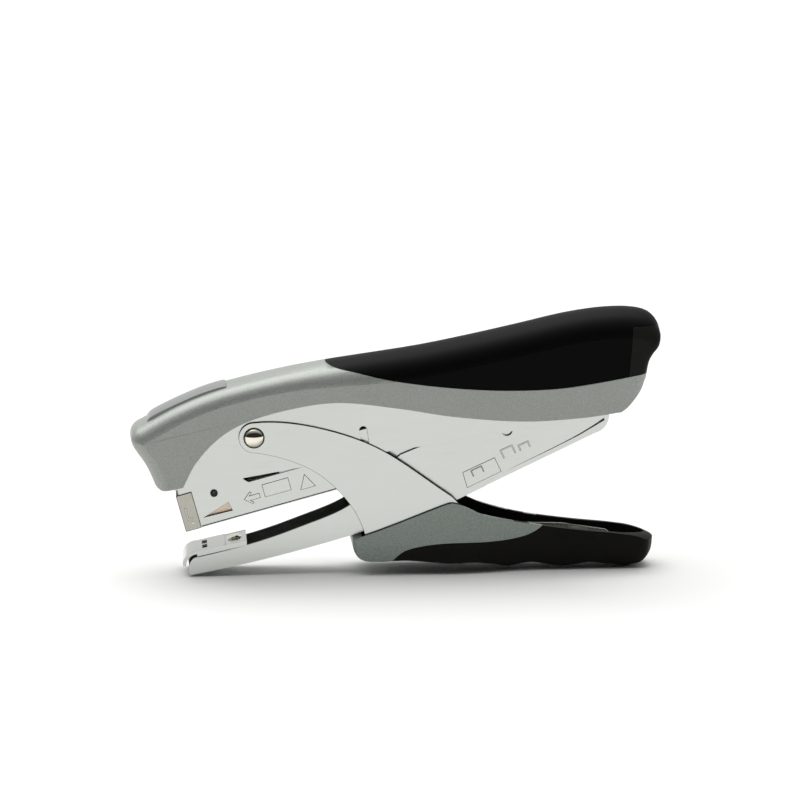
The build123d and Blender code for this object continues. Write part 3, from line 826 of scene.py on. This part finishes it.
# The cheeks' thin sides and broken edges are painted dark as edge shade; along the handle's channel every
# face keeps the plating.
for face in bm.faces:
    thin = abs(face.normal.y) < 0.3 and face.calc_area() < SHEET_EDGE_AREA
    if thin and face.calc_center_median().x < CHANNEL_START:
        face.material_index = 1
break_edges(bm, LEVER_EDGE_BREAK)
for face in bm.faces:
    if face.calc_center_median().x > CHANNEL_START:
        face.material_index = 0
finished(bm, "lever_pressing", "lower_handle", [PLATE, EDGE_SHADE], ["lever"])
softened("roller_pin", "lower_handle", ZINC, 0.3)
softened("lift_roller", "roller", HARD, 0.3)
softened("roller_bushes", "lower_handle", MOULDING, 0.15)


# ---- Lower handle shell and grip ----
# Two mouldings snapped and screwed over the lever: a grey shell at the throat and a black soft
# grip with finger waves. They are one hollow boat shape, wide at the front and narrow at the rear.
SHELL_OUT = 13.4
REAR_OUT = 9.9
SHELL_BACK = 94.2
TAPER_START = 24.2
TAPER_END = 50.0
WELL_START = -12.6
WELL_FRONT = 12.0
WELL_REAR = 10.7
RIM_STEP = 12.75
KEEL_TOP = 10.4
LEVER_FLOOR = 4.9
SHELL_SHOULDER = 2.4


def grey_paint(name, dark, light):
    """Metallic grey plastic: very fine bright and dark flakes under a satin skin."""
    finish = Finish(name)
    flake = finish.band(finish.noise(2600.0, 2.0), 0.32, 0.68)
    sparkle = finish.band(finish.noise(4200.0, 1.0), 0.62, 0.72)
    cloud = finish.noise(45.0, 2.0)
    base = finish.tint(flake * 0.8 + cloud * 0.2, dark, light)
    colour = finish.tint(sparkle * 0.35, base, (0.60, 0.62, 0.58))
    rough = 0.34 + flake * 0.14
    return finish.surface(Base_Color=colour, Metallic=0.45, Roughness=rough, Specular_IOR_Level=0.2,
                          Coat_Weight=0.08, Coat_Roughness=0.22,
                          Normal=finish.bump(flake, 0.00002, 0.3))


def soft_grip(name, dark, light):
    """Satin black rubbery moulding with a fine leather-like grain."""
    finish = Finish(name)
    grain = finish.noise(3200.0, 2.0)
    wear = finish.noise(60.0, 3.0)
    colour = finish.tint(wear, dark, light)
    rough = 0.40 + grain * 0.14 + wear * 0.06
    return finish.surface(Base_Color=colour, Roughness=rough, Specular_IOR_Level=0.065,
                          Normal=finish.bump(grain, 0.00003, 0.35))


SHELL_GREY = grey_paint("shell_grey", (0.195, 0.228, 0.206), (0.325, 0.366, 0.33))
# The lower grip's black is lightened, as painted light reflected from the floor along its sides; the same
# finish paints the shade inside the grey shell.
LIT_GRIP_AND_SHADE = soft_grip("lower_grip_painted_floor_light", (0.005, 0.0047, 0.0040), (0.011, 0.0106, 0.0092))


def smoothstep(low, high, value):
    share = min(max((value - low) / (high - low), 0.0), 1.0)
    return share * share * (3 - 2 * share)


SHARP_RIM = radians(50)
KNIFE_EDGE = radians(130)
SPIKE = 0.3


def rim_round(bm, width):
    """Round the rims left by carving, leave knife edges, and go finer if a rim is too crowded."""
    bmesh.ops.dissolve_degenerate(bm, dist=0.02, edges=bm.edges)
    before = max(v.co.length for v in bm.verts)
    for share in (1.0, 0.5, 0.25):
        trial = bm.copy()
        edges = [e for e in trial.edges
                 if e.is_manifold and SHARP_RIM < e.calc_face_angle(0.0) < KNIFE_EDGE]
        bmesh.ops.bevel(trial, geom=edges, offset=width * share, offset_type="OFFSET", affect="EDGES",
                        segments=2, profile=0.5, material=-1, clamp_overlap=True)
        if max(v.co.length for v in trial.verts) < before + SPIKE:
            bm.free()
            return trial
        trial.free()
    return bm


TAPER_STEPS = 8
STERN_STEPS = 10


def plan_prism(front, rear, x_front, x_back, z_low, z_high):
    """An upright block with a boat-shaped plan."""
    near = [Vector((x_front, front, 0))]
    for step in range(TAPER_STEPS + 1):
        x = TAPER_START + (TAPER_END - TAPER_START) * step / TAPER_STEPS
        near.append(Vector((x, front + (rear - front) * smoothstep(TAPER_START, TAPER_END, x), 0)))
    round_start = x_back - rear
    for step in range(STERN_STEPS + 1):
        angle = pi / 2 * step / STERN_STEPS
        near.append(Vector((round_start + rear * sin(angle), rear * cos(angle), 0)))
    far = [Vector((p.x, -p.y, 0)) for p in reversed(near[:-1])]
    bm = bmesh.new()
    face = bm.faces.new([bm.verts.new((p.x, p.y, z_low)) for p in near + far])
    made = bmesh.ops.extrude_face_region(bm, geom=[face])
    bmesh.ops.translate(bm, verts=[v for v in made["geom"] if isinstance(v, bmesh.types.BMVert)],
                        vec=(0, 0, z_high - z_low))
    bmesh.ops.recalc_face_normals(bm, faces=bm.faces)
    return bm


waves = through([(84.5, 0.1), (77, 1.0), (70, 1.7), (62, 0.6), (56, 1.1), (49, 2.2), (41, 1.1), (35, 2.1),
                 (28, 3.2), (20, 3.0), (13, 3.7), (4, 4.5), (-6, 4.3)], 3)
bow = through([(-6, 4.3), (-11.0, 4.5), (-13.6, 5.7), (-15.1, 7.7), (-15.8, 9.9), (-16.1, 14.0)], 3)
stern = through([(SHELL_BACK, 20.0), (SHELL_BACK, 9.5), (93.5, 5.0), (90.9, 1.6), (84.5, 0.1)], 5)
boat_outline = straight((-16.1, 40.0), (SHELL_BACK, 40.0)) + stern[:-1] + waves[:-1] + bow
boat = slab(boat_outline, SHELL_OUT, SHELL_SHOULDER)
rim = through([(-16.4, 12.6), (-14.6, 13.4), (-5.2, 16.6), (9, 22.0), (17.5, 25.2), (20.0, 25.7),
               (23.6, 24.7), (31, 21.3), (45, 17.7), (66, 14.5), (84, 12.7), (91, 11.6),
               (SHELL_BACK + 1, 9.6)], 5)
above = rim + straight((SHELL_BACK + 1, 60), (-20, 60), (-20, 12.6))
CUTTER_HALF = 30
STERN_WALL = 3.2
boat = carved(boat, slab(above, CUTTER_HALF))
boat = carved(boat, plan_prism(WELL_FRONT, WELL_REAR, WELL_START, SHELL_BACK - STERN_WALL, LEVER_FLOOR, 60))

SEAM_GAP = 0.1
shell_seam = through([(-3.6, 2.0), (-1.2, 5.2), (3.8, 8.9), (16, 10.9), (38, 11.4), (48.8, 13.6),
                      (56.5, 19.5)], 5)
under_seam = shell_seam + straight((100, 24), (100, -6), (-3.6, -6))
over_seam = [p + Vector((0, 0, SEAM_GAP)) for p in shell_seam]
over_seam += straight((56.5, 40), (-30, 40), (-30, -6), (-3.8, -6))
lower_grip = carved(boat.copy(), slab(under_seam, CUTTER_HALF), "INTERSECT")
lower_shell = carved(boat, slab(over_seam, CUTTER_HALF), "INTERSECT")
BOW_FACET = 0.16
KEEL_LEAN = 0.28
STERN_ROUND = 3.6


def boat_bend(bm):
    """Narrow the handle to the rear, round its stern and lean its sides in at the keel."""
    divided(bm, 0, range(-12, 94, 3))
    divided(bm, 1, [-RIM_STEP, -10, -7.5, -5, -2.5, 0, 2.5, 5, 7.5, 10, RIM_STEP])
    divided(bm, 2, [3.5, 5.5, 7.5, KEEL_TOP, 12])
    for vert in bm.verts:
        keel = min(max((KEEL_TOP - vert.co.z) / KEEL_TOP, 0.0), 1.0)
        skin = min(max((abs(vert.co.y) - WELL_FRONT) / (SHELL_OUT - WELL_FRONT), 0.0), 1.0)
        facet = BOW_FACET * keel * skin * (1 - smoothstep(0, 16, vert.co.x))
        vert.co.y *= 1 - facet - KEEL_LEAN * smoothstep(12, 45, vert.co.x) * keel ** 2
        vert.co.y *= 1 - (1 - REAR_OUT / SHELL_OUT) * smoothstep(TAPER_START, TAPER_END, vert.co.x)
        vert.co.x -= STERN_ROUND * smoothstep(70, SHELL_BACK, vert.co.x) * (abs(vert.co.y) / REAR_OUT) ** 2
    return bm


HANDLE_RIM = 0.5
INNER_REACH = 12.3
lower_grip = boat_bend(rim_round(lower_grip, HANDLE_RIM))
lower_shell = boat_bend(rim_round(lower_shell, HANDLE_RIM))
# The shell's inner wall and the inner half of its rim are painted in the grip's black, as painted shade in
# the gap along the lever.
for face in lower_shell.faces:
    middle = face.calc_center_median()
    shaded_inner_wall = abs(middle.y) < INNER_REACH and face.normal.y * middle.y < 0 and middle.z > LEVER_FLOOR
    shaded_inner_rim = abs(middle.y) < RIM_STEP and face.normal.z > 0.3 and middle.z > KEEL_TOP
    if middle.x > WELL_START and (shaded_inner_wall or (shaded_inner_rim and middle.x < TAPER_START)):
        face.material_index = 1
finished(lower_shell, "lower_shell_moulded", "lower_handle", [SHELL_GREY, LIT_GRIP_AND_SHADE],
         ["handle_shell"])
finished(lower_grip, "lower_grip_moulded", "lower_handle", [LIT_GRIP_AND_SHADE], ["handle_grip"])


# ---- Screws ----
# Small zinc-plated pan-head screws with a cross recess: two hold the handle mouldings to the
# lever, and two hold the cover and the upper grip to the frame's web from below.
RECESS = (0.55, 2.6, 0.9)


def cross_screw(head_radius, head_height, shank_radius, shank_length, place):
    """A pan head on +Z with its shank below, and a cross cut into the head."""
    section = [(0, -shank_length), (shank_radius, -shank_length), (shank_radius, 0), (head_radius, 0),
               (head_radius, head_height * 0.5), (head_radius * 0.85, head_height * 0.85),
               (head_radius * 0.5, head_height), (0, head_height)]
    bm = spun(section, IDENTITY, 32)
    for turn in (0, pi / 2):
        slot_tool = bmesh.new()
        size = Matrix.Diagonal((RECESS[1], RECESS[0], RECESS[2], 1))
        spot = Matrix.Translation((0, 0, head_height)) @ Matrix.Rotation(turn, 4, "Z") @ size
        bmesh.ops.create_cube(slot_tool, size=1.0, matrix=spot)
        bm = carved(bm, slot_tool)
    bmesh.ops.transform(bm, matrix=place, verts=bm.verts)
    return bm


SHELL_SCREW = (2.7, 1.6, 1.4, 3.4)
COVER_SCREW = (2.6, 1.6, 1.1, 5.0)
SHELL_SCREW_X = (34.0, 70.0)
COVER_SCREW_PLACES = [(-66.0, 57.73, 24.8), (50.0, 74.0, 2.9)]
SHEET_TO_HEAD = 1.05
lower_screws = [cross_screw(*SHELL_SCREW, Matrix.Translation((x, 0, LEVER_FLOOR + SHEET_TO_HEAD)))
                for x in SHELL_SCREW_X]
finished(joined(*lower_screws), "lower_cross_screws", "lower_handle", [ZINC],
         ["shell_screws"])
upper_screws = []
for x, z, tilt in COVER_SCREW_PLACES:
    turned = Matrix.Rotation(-radians(tilt), 4, "Y") @ Matrix.Translation((0, 0, -SHEET_TO_HEAD))
    spot = Matrix.Translation((x, 0, z)) @ turned @ Matrix.Rotation(pi, 4, "X")
    upper_screws.append(cross_screw(*COVER_SCREW, spot))
finished(joined(*upper_screws), "upper_cross_screws", "upper_handle", [ZINC],
         ["cover_screws"])


# ---- Driver ----
# The blade that pushes one staple out of the mouth, held in a steel block under the nose.
BLADE_EDGE_BREAK = 0.08
BLOCK_EDGE_BREAK = 0.3
softened("driver_blade", "upper_handle", HARD, BLADE_EDGE_BREAK)
softened("driver_block", "upper_handle", HARD, BLOCK_EDGE_BREAK)


# ---- Cover, upper grip and rear cap ----
# One long crowned shape in three mouldings: the grey cover from the nose along the skirt, the
# black soft grip let into its back, and the end cap. All are hollow and screwed to the frame.
COVER_OUT = 13.0
COVER_WALL = 1.6
COVER_SHOULDER = 3.9
SIDE_DROP = 2.2
SKIRT_DROP = 3.6
CROWN_POWER = 2.4
NOSE_BELLY = 0.9
nose = through([(-84.0, 26.0), (-86.1, 32.1), (-88.0, 37.0), (-89.6, 40.4), (-91.2, 43.1), (-93.0, 45.9),
                (-94.6, 49.0), (-94.9, 51.6), (-93.4, 54.0), (-90.6, 55.6)], 3)
back_of_cover = through([(-90.6, 55.6), (-80.5, 61.0), (-70, 65.5), (-59.6, 68.8), (-41.2, 73.1),
                         (-25.5, 76.1), (-8.8, 78.6), (9.2, 81.3), (27.2, 84.8), (45.2, 88.7), (59.6, 92.0),
                         (70, 93.7), (78, 94.4), (86, 94.2), (91.6, 92.6), (94.6, 89.2), (94.6, 85.6),
                         (92.6, 82.8), (90.9, 79.6), (89.5, 72.0), (88.9, 69.4), (88.6, 67.0)], 3)
cover_outline = nose[:-1] + back_of_cover + straight((87.0, 60.0), (70, 20))


def crown_drop(spot):
    """How far the crown has fallen at a spot, from the middle of the back to the side wall."""
    at_wall = SIDE_DROP + SKIRT_DROP * smoothstep(-50, 5, spot.x)
    return at_wall * (abs(spot.y) / COVER_OUT) ** CROWN_POWER


upper = slab(cover_outline, COVER_OUT, COVER_SHOULDER)
divided(upper, 1, [-8, -6, -4, -2, 0, 2, 4, 6, 8])
for vert in upper.verts:
    vert.co.z -= smoothstep(40, 54, vert.co.z) * crown_drop(vert.co)
    belly = smoothstep(-60, -95, vert.co.x) * (abs(vert.co.y) / COVER_OUT) ** 2
    vert.co.x += NOSE_BELLY * belly

arch = through([(80.6, 58.1), (66.8, 56.2), (45, 55.2), (20, 57.3), (2, 60.3), (-19.6, 62.9), (-34, 61.6),
                (-52, 57.0), (-62.8, 51.2), (-71.6, 42.0), (-76.4, 33.0)], 5)
chin = through([(-76.4, 33.0), (-82.4, 31.9), (-84.6, 32.2), (-88.0, 35.6)], 4)
heel = through([(88.9, 69.4), (87.5, 66.0), (85.0, 62.4), (82.7, 59.7), (80.6, 58.1)], 3)
below = straight((110, 90)) + heel[:-1] + arch + chin[1:] + straight((-110, 35.6), (-110, -20), (110, -20))
upper = carved(upper, slab(below, CUTTER_HALF))

grip_seam = through([(-25.6, 78.6), (-25.0, 76.2), (-15, 73.6), (-1.6, 70.6), (20, 67.7), (42, 66.5),
                     (63, 67.5), (98, 73.6)], 5)
black_side = grip_seam + straight((110, 73.6), (110, 110), (-25.6, 110))
grey_side = [p - Vector((0, 0, SEAM_GAP)) for p in grip_seam]
grey_side += straight((110, 73.5), (110, -20), (-110, -20), (-110, 110), (-25.7, 110))
cap_side = straight((81.6, 50), (84.5, 88.6), (110, 89.6), (110, 50))
grip_side = straight((81.5, 50), (84.4, 88.7), (110, 89.7), (110, 120), (-60, 120), (-60, 50))

# The rail's knob comes out through a gate in the rear of the skirt, cut along the rail's slope.
GATE_PLACE = (160, 0, 2.8)
GATE_SIZE = (40, 13.8, 17.6)
COVER_RIM = 0.3
GRIP_RIM = 0.22
CAP_RIM = 0.15
hollow_line = through([(-90.2, 50.5), (-79.3, 57.6), (-59, 64.6), (-25, 70.4), (-8, 72.2), (20, 76.0),
                       (52, 83.2), (80, 87.0)], 4)
hollow = hollow_line + straight((88.0, 84.0), (86.6, 70.0), (78.6, 57.5), (74, 44), (-60, 14), (-78.0, 24),
                                (-83.0, 36), (-86.6, 44.5))
upper = carved(upper, slab(hollow, COVER_OUT - COVER_WALL))
black = carved(upper.copy(), slab(black_side, CUTTER_HALF), "INTERSECT")
cover = carved(upper, slab(grey_side, CUTTER_HALF), "INTERSECT")
cap = carved(black.copy(), slab(cap_side, CUTTER_HALF), "INTERSECT")
grip = carved(black, slab(grip_side, CUTTER_HALF), "INTERSECT")
gate = bmesh.new()
gate_box = Matrix.Translation(GATE_PLACE) @ Matrix.Diagonal((*GATE_SIZE, 1))
bmesh.ops.create_cube(gate, size=1.0, matrix=ON_SLOPE @ gate_box)
cover = rim_round(carved(cover, gate), COVER_RIM)
grip = rim_round(grip, GRIP_RIM)
cap = rim_round(cap, CAP_RIM)
COVER_GREY = grey_paint("cover_grey", (0.285, 0.301, 0.282), (0.45, 0.471, 0.438))
finished(cover, "cover_moulded", "upper_handle", [COVER_GREY], ["head_cover"])
TOP_GRIP = soft_grip("upper_soft_grip", (0.0006, 0.0006, 0.00055), (0.0020, 0.0020, 0.0019))
finished(grip, "upper_grip_moulded", "upper_handle", [TOP_GRIP], ["top_grip"])
finished(cap, "rear_cap_moulded", "upper_handle", [MOULDING], ["rear_cap"])


# ---- Thumb pad ----
# A plain oval pad of smoother plastic let into the crown of the nose, where the thumb presses.
# It stands half a millimetre proud, with a soft rim.
def pad_plastic():
    finish = Finish("pad_plastic")
    flake = finish.noise(5200.0, 1.0)
    colour = finish.tint(flake, (0.21, 0.225, 0.22), (0.30, 0.315, 0.305))
    return finish.surface(Base_Color=colour, Roughness=0.30 + flake * 0.08, Metallic=0.3, Coat_Weight=0.3,
                          Coat_Roughness=0.15)


PAD_HALF = 7.0
PAD_RIM = 0.6
pad_low = through([(-88.5, 54.0), (-80.5, 58.4), (-70, 63.0), (-61, 66.0)], 4)
pad_high = through([(-60.4, 68.9), (-62.0, 68.9), (-70, 66.4), (-80.5, 61.9), (-87.4, 58.3),
                    (-88.9, 56.6)], 4)
pad = rim_round(slab(pad_low + pad_high, PAD_HALF), PAD_RIM)
divided(pad, 1, [-4, -2, 0, 2, 4])
for vert in pad.verts:
    vert.co.z -= crown_drop(vert.co)
finished(pad, "thumb_pad_moulded", "upper_handle", [pad_plastic()], ["thumb_pad"])
